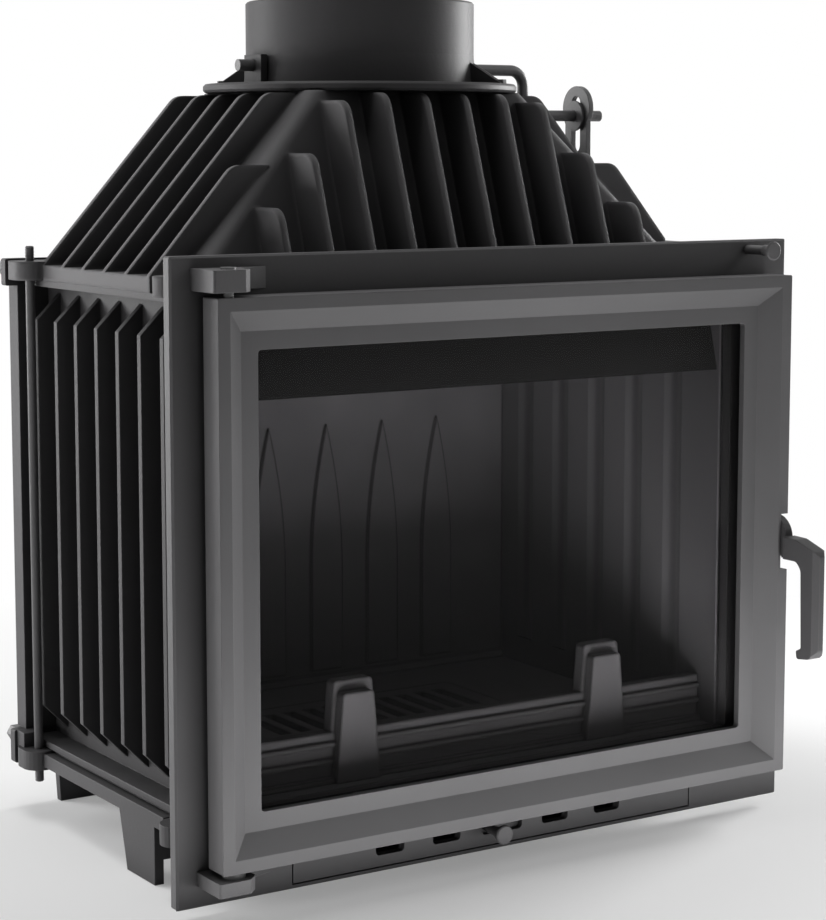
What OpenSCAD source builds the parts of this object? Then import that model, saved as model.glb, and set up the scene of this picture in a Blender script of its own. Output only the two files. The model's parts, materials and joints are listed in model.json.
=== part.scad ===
// Cast iron fireplace insert with a hinged glass door, a finned hood and a
// round flue collar with a damper. Millimetres, +Z up, front face towards -Y.
// Y is counted from the face of the front plate, Z from the hearth.

/* [Front plate] */
// Width of the front plate
plate_w = 600; // [590:1:640]
// Distance that the front plate's upper edge stands above the side panels
plate_over = 33.5; // [32:0.5:40]
// Thickness of the front plate
plate_t = 10; // [8:0.5:14]
// Height of the front plate's lower edge above the hearth
plate_lift = 10; // [4:0.5:11]
// Chamfer round the face of the front plate
plate_chamfer = 1.5; // [0.5:0.5:3]

/* [Door] */
// Width of the door
door_w = 556; // [540:1:562]
// Distance of the door's upper edge below the front plate's
door_drop = 29.5; // [28:0.5:34]
// Thickness of the door at its rim
door_t = 29.7; // [26:0.1:34]
// Gap between the door and the front plate
door_gap = 4; // [3:0.5:6]
// Height of the door's lower edge above the plate's lower edge
door_raise = 32.5; // [32:0.5:36]
// Width of the flat rim round the door
rim_w = 10.2; // [8:0.1:14]
// Width of the bevel inside the rim
bevel_w = 15.9; // [12:0.1:20]
// Depth of the bevel
bevel_drop = 13.6; // [10:0.1:16]
// Width of the flat band round the glass
band_w = 14.4; // [10:0.1:18]
// Thickness of the iron in front of the glass
band_t = 6; // [5:0.5:7]
// Corner radius of the window
window_r = 3; // [2:0.5:8]
// Thickness of the glass
glass_t = 4; // [3:0.5:5]
// Width of the glass held behind the band
glass_lap = 10; // [6:0.5:12]
// Thickness of the tape between the glass and the band
tape_t = 1.5; // [1:0.1:2]
// Diameter of the rope seal on the back of the door
rope_d = 9; // [7:0.5:11]
// Distance from the door's edge to the rope seal
rope_inset = 16; // [14:0.5:18]

/* [Hinges and latch] */
// Diameter of the hinge pins
hinge_pin_d = 8; // [6:0.5:10]
// Distance of the hinge axis from the door's left edge
hinge_inset = 14; // [12:0.5:15]
// Distance of the hinge axis from the face of the front plate
hinge_reach = 24; // [23:0.5:26]
// Thickness of the upper hinge lug
hinge_lug_t = 16.5; // [12:0.5:18]
// Thickness of the lower hinge lug
hinge_lug_low_t = 11; // [9:0.5:13]
// Depth that the hinge pins reach into the door
hinge_pin_reach = 26; // [18:1:40]
// Height of the handle's pin above the door's lower edge
handle_z = 207; // [150:1:260]
// Radius of the handle's round hub
hub_r = 18.5; // [16:0.5:20]
// Thickness of the handle's hub
hub_t = 7; // [5:0.5:9]
// Length of the handle's grip
grip_len = 92; // [80:1:110]
// Thickness of the handle's grip from front to back
grip_t = 17; // [13:0.5:19]
// Width of the handle's grip
grip_w = 13; // [10:0.5:16]
// Distance from the handle's pin to the front of the grip
grip_reach = 61; // [56:1:72]
// Height of the notch in the door for the handle's hub
notch_h = 49; // [46:1:60]

/* [Body] */
// Width over the side fins
body_w = 530; // [520:1:536]
// Depth from the front plate to the back panel
body_d = 335; // [333:1:345]
// Height of the side panels
body_h = 410; // [400:1:412]
// Thickness of the cast walls
wall_t = 8; // [6:0.5:10]
// Depth of the side fins
fin_d = 22; // [16:1:26]
// Thickness of a side fin
fin_t = 6; // [4:0.5:8]
// Distance between side fins
fin_pitch = 39.7; // [36:0.1:44]
// Number of fins on a side
fin_count = 7; // [5:1:7]
// Distance of the first side fin from the front plate's face
fin_first = 84; // [78:1:92]
// Thickness of the upper and lower flanges of the side panels
flange_t = 5.5; // [4:0.5:8]
// Depth of the shallow flutes inside the side panels
flute_d = 2; // [1:0.5:3]
// Depth of the back panel's rim and fins
back_rim_d = 12.5; // [10:0.5:20]
// Thickness of the back panel
back_t = 6; // [5:0.5:9]

/* [Base] */
// Height of the base's lower edge above the hearth
leg_h = 48; // [44:1:50]
// Height of the base's outer rim
base_rim_h = 11.5; // [10:0.5:14]
// Distance that the base stands out past the side fins
base_lip = 7; // [4:0.5:9]
// Height of the step between the base's rim and the side panels
base_step = 3; // [2:0.5:4]
// Thickness of the feet
foot_t = 8; // [6:0.5:12]
// Width of a foot where it meets the base
foot_top_w = 64; // [50:1:76]
// Width of a foot on the hearth
foot_low_w = 50; // [36:1:50]
// Width of the ash well under the base
well_w = 280; // [270:1:300]
// Height of the ash well's underside above the hearth
well_lift = 14; // [12:1:16]

/* [Hearth] */
// Height of the hearth plate's top above the base's top
floor_rise = 17.5; // [17:0.5:20]
// Thickness of the hearth plate
floor_t = 8; // [6:0.5:10]
// Width of the grate
grate_w = 250; // [220:1:262]
// Depth of the grate
grate_d = 190; // [160:1:200]
// Distance from the front plate's face to the grate
grate_y = 80; // [70:1:90]
// Width of a grate slot
grate_slot = 10; // [8:0.5:12]
// Number of grate slots
grate_slots = 11; // [9:1:12]
// Thickness of the ash pan's sheet
pan_t = 1.5; // [1:0.5:3]
// Height of the ash pan
pan_h = 38; // [30:1:42]
// Height of the log guard's bar
guard_h = 41; // [34:1:50]
// Thickness of the log guard's bar
guard_t = 10; // [8:0.5:14]
// Height of the log guard's uprights
upright_h = 73; // [66:1:90]
// Distance between the log guard's uprights
upright_pitch = 249.5; // [220:0.5:280]
// Width of a log guard upright at its top
upright_w = 29; // [24:1:36]

/* [Lining and baffle] */
// Thickness of the back lining
lining_t = 10; // [8:0.5:14]
// Height of the raised arches on the back lining
relief_t = 3; // [1.5:0.5:4]
// Distance between the arches
arch_pitch = 62; // [56:0.5:66]
// Half the width of an arch
arch_hw = 17; // [12:0.5:22]
// Height of an arch's springing above the hearth plate
arch_spring = 110; // [80:1:130]
// Height of an arch's point above its springing
arch_rise = 137; // [110:1:150]
// Thickness of the baffle
baffle_t = 8; // [6:0.5:10]
// Gap left for smoke in front of the baffle
throat = 95; // [80:1:120]
// Tilt of the baffle, front edge up
baffle_tilt = 8; // [4:1:10]
// Height of the air wash plate's lower edge below the window's top
wash_drop = 42; // [34:1:48]
// Thickness of the air wash plate
wash_t = 4; // [3:0.5:6]

/* [Hood] */
// Height of the band round the hood's foot
band_h = 12.9; // [12:0.1:16]
// Height of the sloping hood above its band
hood_h = 146.6; // [140:0.1:156]
// Width of the hood at its foot
hood_low_w = 480.8; // [470:0.1:490]
// Width of the hood at its top
hood_top_w = 212; // [208:1:216]
// Depth of the hood at its top
hood_top_d = 196; // [195:1:200]
// Distance from the front plate's face to the hood's foot
hood_low_y = 72.7; // [66:0.1:76]
// Distance from the back panel to the hood's rear foot
hood_back_gap = 8; // [4:1:12]
// Rounding of the hood's sloping corners
hip_r = 12; // [6:1:18]
// Distance that the front fins stand out from the hood
hood_fin_d = 37; // [28:1:40]
// Distance between the front fins
hood_fin_pitch = 39; // [36:0.5:40]
// Number of front fins
hood_fin_count = 10; // [8:2:10]
// Thickness of a hood fin
hood_fin_t = 6; // [4:0.5:8]
// Rounding of the fins' upper corners
fin_corner_r = 16; // [8:1:20]
// Distance of a short fin's top below the sloping corner
fin_drop = 18; // [12:1:24]
// Distance between the hood's side fins
side_fin_pitch = 40.2; // [38:0.1:42]
// Number of side fins on a slope of the hood
side_fin_count = 6; // [4:1:6]
// Distance of the first side fin of the hood from the plate's face
side_fin_first = 106; // [102:1:110]

/* [Tie rods] */
// Diameter of the tie rods
tie_rod_d = 8; // [6:0.5:9]
// Distance of the front tie rods from the plate's face
tie_front_y = 54.5; // [52:0.5:60]
// Distance between the front and rear tie rods
tie_pitch = 266.5; // [262:0.5:268]
// Distance of the tie rods outside the side fins
tie_out = 5.5; // [5:0.5:8]
// Radius of the ears round the tie rods
ear_r = 14.6; // [12:0.1:16]
// Length of the tie rods past the ears
tie_proud = 13; // [11:1:20]

/* [Flue collar] */
// Outside diameter of the flue collar
collar_d = 199; // [197:0.5:200]
// Extra diameter at the foot of the collar
collar_flare = 3.6; // [0:0.1:4]
// Wall of the flue collar
collar_t = 5.5; // [5:0.5:8]
// Height of the straight part of the collar
collar_straight = 46; // [42:1:60]
// Height of the collar's flared foot
collar_foot = 24.5; // [22.5:0.5:28]
// Diameter of the collar's flange
collar_flange_d = 274; // [268:1:280]
// Thickness of the collar's flange
collar_flange_t = 7.5; // [6:0.5:10]
// Distance of the flue's axis from the plate's face
flue_y = 220.5; // [219:0.5:222]
// Radius of the circle of the collar's bolts
collar_bolt_r = 125.5; // [122:0.5:128]

/* [Damper] */
// Diameter of the damper shaft
shaft_d = 10; // [8:0.5:10]
// Height of the damper shaft above the collar's flange
shaft_rise = 15; // [14:0.5:17]
// Crank radius of the damper shaft
crank_r = 40.5; // [38:0.5:42]
// Bend radius of the damper shaft
shaft_bend_r = 14; // [11:0.5:15]
// Distance of the crank's bend from the flue's axis
crank_x = 175; // [168:1:182]
// Distance of the crank's end from the flue's axis
crank_end = 263; // [258:1:268]
// Thickness of the damper flap
flap_t = 4; // [3:0.5:6]
// Gap between the damper flap and the collar
flap_gap = 3; // [2:0.5:5]
// Slope of the damper flap at rest, rear edge down
flap_slope = 34; // [30:1:34]
// Distance of the slotted plate from the flue's axis
yoke_x = 236; // [232:1:240]
// Thickness of the slotted plate
yoke_t = 5; // [4:0.5:6]
// Diameter of the slotted plate's round head
yoke_head_d = 41; // [36:1:46]
// Width of the slotted plate's stem
yoke_w = 33; // [28:1:36]
// Width of the slot
slot_w = 12.6; // [12.4:0.1:14]
// Diameter of the washer beside the slotted plate
washer_d = 28; // [22:1:32]
// Diameter of the pull rod
pull_rod_d = 8; // [6:0.5:8]
// Distance of the pull rod from the insert's middle
pull_x = 256; // [255:0.5:257]
// Distance of the pull rod below the plate's upper edge
pull_drop = 8.3; // [8:0.1:9]
// Distance that the pull knob stands out from the plate
pull_proud = 35; // [35:1:45]
// Length of the pull knob
pull_knob_len = 12; // [10:0.5:12]
// Diameter of the knobs' heads
knob_d = 16; // [12:0.5:18]

/* [Air control] */
// Length of the air bar
air_bar_w = 397; // [380:1:400]
// Height of the air bar
air_bar_h = 24; // [22:0.5:24.5]
// Height of the air bar above the plate's lower edge
air_bar_raise = 4.5; // [4:0.5:6]
// Gap round the air bar
air_gap = 1.2; // [0.8:0.1:2]
// Distance between air slots
slot_pitch = 54.5; // [50:0.5:58]
// Length of an air slot
air_slot_w = 27; // [22:0.5:27]
// Height of the air slots
air_slot_h = 10; // [8:0.5:11]
// Thickness of the air slider
slider_t = 3; // [2:0.5:4]
// Travel of the air slider
air_travel = 27; // [20:0.5:28]
// Distance of the air knob left of the middle, slots open
air_knob_x = 13; // [12:0.5:14]
// Distance that the air knob stands out from the plate
air_knob_proud = 24; // [20:1:36]

/* [Fits] */
// Radial clearance of a turning or sliding fit
run_clear = 0.05; // [0.02:0.01:0.1]
// Clearance between loose castings
cast_clear = 0.5; // [0.3:0.1:1]
// Radial clearance of a bolt in its hole
bolt_clear = 0.25; // [0.1:0.05:0.5]
// Diameter of the larger bolts
bolt_d = 8; // [6:0.5:8]
// Diameter of the small screws
screw_d = 5; // [4:0.5:5]

/* [Hidden] */
$fn = 48;
iron = [0.24, 0.24, 0.25];
iron_dark = [0.14, 0.14, 0.15];
steel = [0.45, 0.45, 0.47];

eps = 0.01;
plate_x = plate_w / 2;
plate_z0 = plate_lift;
plate_z1 = leg_h + base_rim_h + base_step + body_h + plate_over;

door_x = door_w / 2;
door_z0 = plate_z0 + door_raise;
door_z1 = plate_z1 - door_drop;
door_h = door_z1 - door_z0;
door_zm = (door_z0 + door_z1) / 2;
door_y1 = -door_gap;
door_y0 = door_y1 - door_t;
band_inset = rim_w + bevel_w;
window_inset = band_inset + band_w;
band_y = door_y0 + bevel_drop;
tape_y = band_y + band_t;
glass_y = tape_y + tape_t;
glass_back = glass_y + glass_t;
window_x = door_x - window_inset;
window_z0 = door_z0 + window_inset;
window_z1 = door_z1 - window_inset;
tape_w = glass_lap - 2;
recess_x = window_x + glass_lap + cast_clear;
recess_z = (window_z1 - window_z0) / 2 + glass_lap + cast_clear;
rope_mid = rope_inset + rope_d / 2;

hinge_x = -door_x + hinge_inset;
hinge_y = -hinge_reach;
hinge_pin_r = hinge_pin_d / 2;
lug_gap = 4;
lug_w = 34.5;
lug_foot = 29.5;
lug_x0 = hinge_x - lug_w / 2 - 2;
lug_y0 = hinge_y - 14;
pin_head_t = 3;
washer_h = lug_gap - 0.3;

handle_pin_d = 7;
handle_y = door_y0 + 11.7;
handle_zc = door_z0 + handle_z;
notch_d = hub_t + cast_clear;
hub_x1 = door_x;
hub_x0 = hub_x1 - hub_t;
handle_pin_in = 12;
arm_start = 18.5;
hub_gap = 1.2;

body_x = body_w / 2;
wall_x1 = body_x - fin_d;
wall_x0 = wall_x1 - wall_t;
body_y0 = plate_t;
body_y1 = body_y0 + body_d;
base_z0 = leg_h;
base_z1 = base_z0 + base_rim_h + base_step;
body_z0 = base_z1;
body_z1 = body_z0 + body_h;
base_x = body_x + base_lip;
back_y1 = body_y1 + back_t;
rear_y = back_y1 + back_rim_d;
rear_lug_t = 9;
rear_nut_y1 = body_y1 + rear_lug_t + 16;
front_flange_t = 7;

floor_z1 = base_z1 + floor_rise;
floor_z0 = floor_z1 - floor_t;
floor_x = wall_x0 - cast_clear;
lining_y1 = body_y1 - 3;
lining_y0 = lining_y1 - lining_t;
well_x = well_w / 2;
well_t = 5;
well_y1 = grate_y + grate_d + 22;
well_floor = well_lift + well_t;
grate_seat = 6;
grate_t = floor_t;

aperture_x = window_x + 2;
aperture_z0 = floor_z1;
aperture_z1 = window_z1 + 4;

hood_z0 = body_z1;
hood_z1 = hood_z0 + band_h;
hood_z2 = hood_z1 + hood_h;
hood_low_x = hood_low_w / 2;
hood_top_x = hood_top_w / 2;
hood_back_y = body_y1 - hood_back_gap;
hood_top_y0 = flue_y - hood_top_d / 2;
hood_top_y1 = flue_y + hood_top_d / 2;
front_slope = (hood_top_y0 - hood_low_y) / hood_h;
side_slope = (hood_low_x - hood_top_x) / hood_h;

tie_x = body_x + tie_out;
tie_y = [tie_front_y, tie_front_y + tie_pitch];
tie_r = tie_rod_d / 2;
ear_rise = 3;
corner_cut = 9;
side_cut_y = side_fin_first - hood_fin_t / 2;
base_cut_y = tie_front_y + ear_r + 8.5;
foot_y = base_cut_y + 16;

collar_r = collar_d / 2;
collar_in = collar_r - collar_t;
collar_z0 = hood_z2;
collar_z1 = collar_z0 + collar_flange_t;
collar_z2 = collar_z1 + collar_foot;
collar_z3 = collar_z2 + collar_straight;
flue_in = collar_in;
shaft_z = collar_z1 + shaft_rise;
shaft_r = shaft_d / 2;
crank_z = shaft_z - crank_r;
tab_x = collar_r + 1.5;
tab_t = 6;
tab_w = 29;
tab_z1 = collar_z2 - 0.5;
rib_t = 4;
rib_apart = 7;
rib_d = 27;
rib_h = 18;
shaft_left = tab_x + tab_t + 14.5;
flap_r = collar_in - flap_gap;
flap_bolt_r = 2;
flap_head_t = 2;

pull_z = plate_z1 - pull_drop;
pull_r = pull_rod_d / 2;
pull_end = flue_y + 24;
yoke_foot_z = pull_z + 15;
guide_y = body_y0 + 130;

air_x = air_bar_w / 2;
air_z0 = plate_z0 + air_bar_raise;
air_z1 = air_z0 + air_bar_h;
air_zc = (air_z0 + air_z1) / 2 + 2;
air_wall = 5;
air_leg = 3;
air_lip = 2;
slider_gap = 0.4;
air_slot_list = [-2, -1, 1, 2];
air_back_y = air_wall + slider_t + 1 + air_lip;
well_y0 = air_back_y + cast_clear;
air_mid_w = air_travel + 13;
air_mid_x = (air_travel - 2 * air_knob_x) / 2;
stem_r = 3;
slider_x = 2 * slot_pitch + air_slot_w / 2 + 8;
bolt_r = bolt_d / 2;
screw_r = screw_d / 2;
small_head_r = 4.6;
small_head_t = 4;
head_r = 6.5;
rear_nut_r = 7.5;
head_t = 5.5;

// Front and rear reach of the insert, which centre it front to back
front_reach = handle_y - grip_reach;
rear_reach = rear_nut_y1 + 1;
frame_y = (front_reach + rear_reach) / 2;

function unit(v) = v / norm(v);
// Points of a rounded corner at b, between the edges to a and to c
function corner(a, b, c, r, n = 6) =
    let (u = unit(a - b), v = unit(c - b),
        half = acos(max(-1, min(1, u * v))) / 2,
        reach = min(r / tan(half), 0.49 * min(norm(a - b), norm(c - b))),
        rr = reach * tan(half),
        mid = b + unit(u + v) * rr / sin(half),
        p = b + u * reach, q = b + v * reach,
        a0 = atan2(p[1] - mid[1], p[0] - mid[0]),
        a1 = atan2(q[1] - mid[1], q[0] - mid[0]),
        turn = a1 - a0 > 180 ? a1 - a0 - 360 : a1 - a0 < -180 ? a1 - a0 + 360 : a1 - a0)
    r <= 0 ? [b] : [for (i = [0:n]) mid + rr * [cos(a0 + turn * i / n), sin(a0 + turn * i / n)]];
// A closed outline from points [x, y, rounding]
function rounded(pts) = [for (i = [0:len(pts) - 1])
    let (m = len(pts), a = pts[(i + m - 1) % m], b = pts[i], c = pts[(i + 1) % m])
    each corner([a[0], a[1]], [b[0], b[1]], [c[0], c[1]], b[2])];

module slab(x0, x1, y0, y1, z0, z1) {
    translate([x0, y0, z0]) cube([x1 - x0, y1 - y0, z1 - z0]);
}
// Extrudes an outline drawn in X and Z from y0 to y1
module along_y(y0, y1) {
    translate([0, y1, 0]) rotate([90, 0, 0]) linear_extrude(y1 - y0) children();
}
// Extrudes an outline drawn in Y and Z from x0 to x1
module along_x(x0, x1) {
    translate([x0, 0, 0]) rotate([90, 0, 90]) linear_extrude(x1 - x0) children();
}
module rod_x(x0, x1, y, z, r) {
    translate([x0, y, z]) rotate([0, 90, 0]) cylinder(h = x1 - x0, r = r);
}
module rod_y(x, y0, y1, z, r) {
    translate([x, y0, z]) rotate([-90, 0, 0]) cylinder(h = y1 - y0, r = r);
}
module rod_z(x, y, z0, z1, r) {
    translate([x, y, z0]) cylinder(h = z1 - z0, r = r);
}
module box_outline(x0, x1, z0, z1, r = 0) {
    polygon(rounded([[x0, z0, r], [x1, z0, r], [x1, z1, r], [x0, z1, r]]));
}
module mirrored() {
    children();
    mirror([1, 0, 0]) children();
}
// A ring round the door, inset by inset, w wide
module door_ring(inset, w, y0, y1, r) {
    along_y(y0, y1) difference() {
        box_outline(-door_x + inset, door_x - inset, door_z0 + inset, door_z1 - inset, r);
        box_outline(-door_x + inset + w, door_x - inset - w, door_z0 + inset + w,
            door_z1 - inset - w, max(r - w, 0.5));
    }
}
module hex_y(x, y0, y1, z, r) {
    translate([x, y0, z]) rotate([-90, 0, 0]) cylinder(h = y1 - y0, r = r, $fn = 6);
}
module hex_z(x, y, z0, z1, r) {
    translate([x, y, z0]) cylinder(h = z1 - z0, r = r, $fn = 6);
}

flute_r = 40;
baffle_lug_z = body_z1 - 30;
baffle_lug_hy = 15;
baffle_rear = 130;
baffle_y = lining_y0 - baffle_rear - 15;
baffle_len = lining_y1 - body_y0 - throat;
guard_y = body_y0 + 20;
guard_rib_h = 4;
guard_toe = 5;
guard_heel = 8;
guard_foot_t = 5;
clip_t = 1.5;
clip_hx = 18;
clip_hz = 6;
clamp_w = 16;
clamp_d = 20;
clamp_room = 45;

// Places of the fasteners
plate_bolt_z = [body_z0 + 55, body_z0 + body_h / 2, body_z1 - 55];
plate_bolt_x = (wall_x1 + body_x) / 2;
plate_bolt_deep = plate_t - 3;
rear_bolt_z = [base_z1 + 3.5, hood_z0 + 8.5];
rear_bolt_x = tie_x + 2;
rear_bolt_in = 13;
wash_rise = 18;
wash_nose = 12;
wash_screw_x = 150;
wash_screw_z = aperture_z1 + 11;
clip_x = window_x * 0.55;
clip_z = [window_z0 - 8, window_z1 + 8];
air_screw_x = air_x + air_gap + 7;
rear_lug_x = tie_x + 12.5;
hub_notch_z0 = handle_zc - notch_h / 2 - 4;
hub_notch_z1 = handle_zc + notch_h / 2 - 4;
catch_x = hub_x0 + hub_t / 2;
catch_w = hub_t - 1;
catch_r = screw_r;
catch_y = door_y0 + 20;

module hinge_lug(z0, z1) {
    translate([0, 0, z0]) linear_extrude(z1 - z0)
        polygon(rounded([[lug_x0, eps, 0], [lug_x0, lug_y0, 2], [lug_x0 + lug_w - 8, lug_y0, 1],
            [lug_x0 + lug_w, lug_y0 + 8, 3], [lug_x0 + lug_w, -10, 10],
            [lug_x0 + lug_w + lug_foot, eps, 0]]));
}

module front_plate() {
    color(iron) difference() {
        union() {
            along_y(plate_chamfer, plate_t)
                box_outline(-plate_x, plate_x, plate_z0, plate_z1, 2);
            hull() {
                slab(-plate_x + plate_chamfer, plate_x - plate_chamfer, 0, 1,
                    plate_z0 + plate_chamfer, plate_z1 - plate_chamfer);
                slab(-plate_x + 0.2, plate_x - 0.2, plate_chamfer, plate_chamfer + 1,
                    plate_z0 + 0.2, plate_z1 - 0.2);
            }
            hinge_lug(door_z1 + lug_gap, door_z1 + lug_gap + hinge_lug_t);
            hinge_lug(door_z0 - lug_gap - hinge_lug_low_t, door_z0 - lug_gap);
        }
        along_y(-1, plate_t + 1)
            box_outline(-aperture_x, aperture_x, aperture_z0, aperture_z1, window_r);
        along_y(-1, plate_t + 1) box_outline(-air_x - air_gap, air_x + air_gap,
            air_z0 - air_gap, air_z1 + air_gap, 1);
        rod_z(hinge_x, hinge_y, door_z1, door_z1 + lug_gap + hinge_lug_t + 1,
            hinge_pin_r + run_clear);
        rod_z(hinge_x, hinge_y, door_z0 - lug_gap - hinge_lug_low_t - 1, door_z0,
            hinge_pin_r + run_clear);
        rod_y(pull_x, -1, plate_t + 1, pull_z, pull_r + run_clear);
        mirrored() for (z = plate_bolt_z)
            rod_y(plate_bolt_x, plate_t - plate_bolt_deep - 1, plate_t + 1, z, bolt_r + bolt_clear);
        mirrored() rod_y(air_screw_x, 3, plate_t + 1, (air_z0 + air_z1) / 2,
            screw_r + bolt_clear);
        mirrored() rod_y(wash_screw_x, 3, plate_t + 1, wash_screw_z, screw_r + bolt_clear);
        rod_y(catch_x, -1, plate_t + 1, hub_notch_z0 + 4, catch_r + bolt_clear);
    }
}

// An ear round a tie rod, from y0 to y1, reaching inwards to X = -inner
module ear(y0, y1, z0, z1, inner) {
    translate([0, 0, z0]) linear_extrude(z1 - z0) polygon(rounded([[-inner, y0, 0],
        [-tie_x - ear_r, y0, ear_r], [-tie_x - ear_r, y1, ear_r], [-inner, y1, 0]]));
}
module corner_ears(z0, z1, inner) {
    mirrored() {
        ear(tie_y[0] - ear_r, tie_y[0] + ear_r, z0, z1, inner);
        ear(tie_y[1] - ear_r, body_y1, z0, z1, inner);
    }
}
module tie_holes(z0, z1) {
    mirrored() for (y = tie_y) rod_z(tie_x, y, z0, z1, tie_r + bolt_clear);
}

module front_foot() {
    y0 = foot_y;
    along_x(-base_x, -base_x + foot_t) polygon([[y0, 0], [y0 + foot_low_w, 0],
        [y0 + foot_top_w, base_z0 + 1], [y0, base_z0 + 1]]);
    slab(-base_x, -base_x + 26, y0, y0 + foot_t, 20, base_z0 + 1);
}
module rear_foot() {
    x0 = base_x - 37;
    along_y(rear_y - foot_t, rear_y) polygon([[-x0, 0], [-x0 + foot_low_w, 0],
        [-x0 + foot_top_w, base_z0 + 1], [-x0 - 3, base_z0 + 1]]);
}
module base() {
    color(iron_dark) difference() {
        union() {
            difference() {
                slab(-base_x, base_x, body_y0, rear_y, base_z0, base_z0 + base_rim_h);
                slab(-base_x - 1, base_x + 1, body_y1, rear_y + 1, base_z0 + base_rim_h - 4,
                    base_z1 + 1);
                mirrored() slab(body_x - corner_cut, base_x + 1, body_y0 - 1, base_cut_y,
                    base_z0 - 1, base_z1 + 1);
            }
            slab(-body_x + 3, body_x - 3, base_cut_y - 3, body_y1, base_z0 + base_rim_h - 1, base_z1);
            slab(-body_x + corner_cut, body_x - corner_cut, body_y0, base_cut_y,
                base_z0 + base_rim_h - 1, base_z1);
            corner_ears(base_z0 - ear_rise, base_z1 - 1, body_x - 20);
            slab(-well_x, well_x, well_y0, well_y1, well_lift, base_z0 + 1);
            mirrored() front_foot();
            mirrored() rear_foot();
            // Posts at the rear corners for the rear bolts
            mirrored() slab(-tie_x - 10, -body_x - 1, body_y1 - 15, body_y1, base_z1 - 3,
                rear_bolt_z[0] + 8);
            // Ribs that carry the hearth plate
            mirrored() slab(well_x + 10, well_x + 18, body_y0 + 4, lining_y0 - 10, base_z1 - 1,
                floor_z0);
            slab(-floor_x + 20, floor_x - 20, lining_y0 - 6, lining_y1, base_z1 - 1, floor_z0);
        }
        slab(-well_x + well_t, well_x - well_t, body_y0 - 1, well_y1 - well_t, well_floor,
            base_z1 + 1);
        tie_holes(-1, base_z1 + 1);
        mirrored() rod_y(rear_bolt_x, body_y1 - rear_bolt_in - 1, body_y1 + 1, rear_bolt_z[0],
            bolt_r + bolt_clear);
        // Hollow underside beside the ash well
        mirrored() slab(well_x + 8, body_x - corner_cut - 6, body_y0 + 12, body_y1 - 12,
            base_z0 - 1, base_z0 + 5);
    }
}

// The left side panel; the right one is its mirror image
module side_panel() {
    difference() {
        union() {
            slab(-wall_x1, -wall_x0, body_y0, body_y1, body_z0, body_z1);
            slab(-body_x, -wall_x1 + eps, body_y0, body_y1, body_z1 - flange_t, body_z1);
            slab(-body_x, -wall_x1 + eps, body_y0, body_y1, body_z0, body_z0 + flange_t);
            slab(-body_x, -wall_x1 + eps, body_y0, body_y0 + front_flange_t, body_z0, body_z1);
            for (i = [0:fin_count - 1]) {
                y = fin_first + i * fin_pitch;
                along_y(y - fin_t / 2, y + fin_t / 2) polygon([
                    [-wall_x1 + 1, body_z0 + 13.5], [-wall_x1, body_z0 + 14.5],
                    [-body_x, body_z0 + 14.5 + fin_d], [-body_x, body_z1 - 12.5 - fin_d],
                    [-wall_x1, body_z1 - 12.5], [-wall_x1 + 1, body_z1 - 11.5]]);
            }
            // Lug that carries the baffle
            along_x(-wall_x0 - 1, -wall_x0 + 8) polygon([
                [baffle_y - baffle_lug_hy, baffle_lug_z - 14], [baffle_y + baffle_lug_hy, baffle_lug_z - 14],
                [baffle_y + baffle_lug_hy, baffle_lug_z - baffle_lug_hy * tan(baffle_tilt)],
                [baffle_y - baffle_lug_hy, baffle_lug_z + baffle_lug_hy * tan(baffle_tilt)]]);
        }
        for (z = plate_bolt_z) rod_y(-plate_bolt_x, 0, body_y0 + front_flange_t + 1, z,
            bolt_r + bolt_clear);
        for (i = [0:4]) rod_z(-wall_x0 + flute_r - flute_d, body_y0 + 62 + i * 56,
            floor_z1 + 25, body_z1 - 70, flute_r);
    }
}
module side_panel_left() { color(iron_dark) side_panel(); }
module side_panel_right() { color(iron_dark) mirror([1, 0, 0]) side_panel(); }

module back_panel() {
    x1 = base_x;
    fins = 6;
    color(iron_dark) difference() {
        union() {
            slab(-x1, x1, body_y1, back_y1, base_z1 - 6.5, hood_z0);
            mirrored() slab(-x1, -x1 + back_t, back_y1 - 1, rear_y, rear_bolt_z[0] + rear_nut_r + 0.5,
                hood_z0 - 2);
            for (z = [base_z0 + base_rim_h, hood_z0 - 8]) slab(-wall_x1, wall_x1, back_y1 - 1,
                rear_y - 6, z, z + back_t);
            for (i = [-fins:fins]) {
                x = i * fin_pitch;
                along_x(x - fin_t / 2, x + fin_t / 2) polygon([
                    [back_y1 - 1, body_z0 + 14], [rear_y, body_z0 + 14 + back_rim_d],
                    [rear_y, body_z1 - 14 - back_rim_d], [back_y1 - 1, body_z1 - 14]]);
            }
            // Lugs at the corners, outside the panel's edge
            mirrored() along_y(body_y1, body_y1 + rear_lug_t) {
                box_outline(-rear_lug_x, -x1 + 12, base_z0 - 3.5, rear_bolt_z[0] + 8, 2);
                box_outline(-rear_lug_x, -x1 + 12, hood_z0 - 6, hood_z1 + 4.5, 2);
            }
            mirrored() slab(-x1, -wall_x0, body_y1, back_y1, hood_z0 - 1, hood_z1 + 4.5);
        }
        for (z = rear_bolt_z) mirrored() rod_y(rear_bolt_x, body_y1 - 1, rear_nut_y1, z,
            bolt_r + bolt_clear);
        slab(-base_x - 0.3, base_x + 0.3, body_y1 - 1, rear_y + 1, base_z0 - 20,
            base_z0 + base_rim_h - 3.7);
    }
}

// Y of the hood's front wall at height z
function wall_y(z) = hood_low_y + (z - hood_z1) * front_slope;
// X of the hood's side wall at height z
function wall_x(z) = hood_low_x - (z - hood_z1) * side_slope;
// Height of the sloping corner above a point across the front, or along a side
function hip_z(x) = hood_z2 - (x - hood_top_x) / side_slope;
function hip_side_z(y) = hood_z1 + (y - hood_low_y) / front_slope;

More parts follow.
